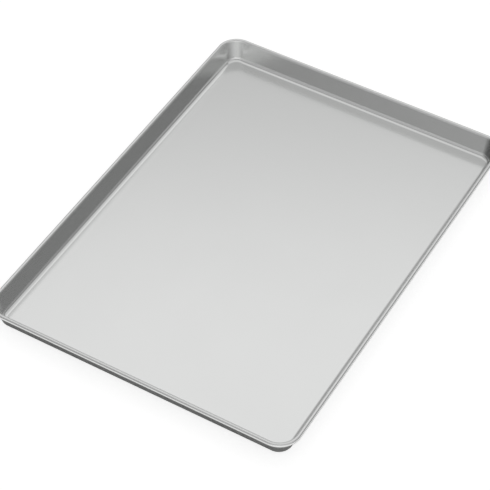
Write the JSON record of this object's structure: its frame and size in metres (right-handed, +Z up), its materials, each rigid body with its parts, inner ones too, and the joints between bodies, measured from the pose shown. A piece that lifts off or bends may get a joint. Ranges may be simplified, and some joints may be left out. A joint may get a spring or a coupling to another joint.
{
  "type": "jelly roll pan",
  "caption": "Shallow rectangular steel baking pan with a flat floor, leaning walls, rounded corners and an edge rolled outward round a stiffening wire.",
  "frame": {"origin": "on the table, under the middle of the pan: the centre of the underside of the floor", "axes": "+Z up out of the pan, +Y along the long side, +X along the short side; the two long sides and the two short sides are alike"},
  "size_m": [0.318, 0.442, 0.023],
  "materials": {
    "coated_sheet": "satin silver coating on pressed steel sheet, neutral grey, semi-gloss",
    "wire_steel": "plain drawn wire"
  },
  "bodies": {
    "root": {"pan_shell": "coated_sheet", "rim_wire": "wire_steel"}
  },
  "joints": []
}
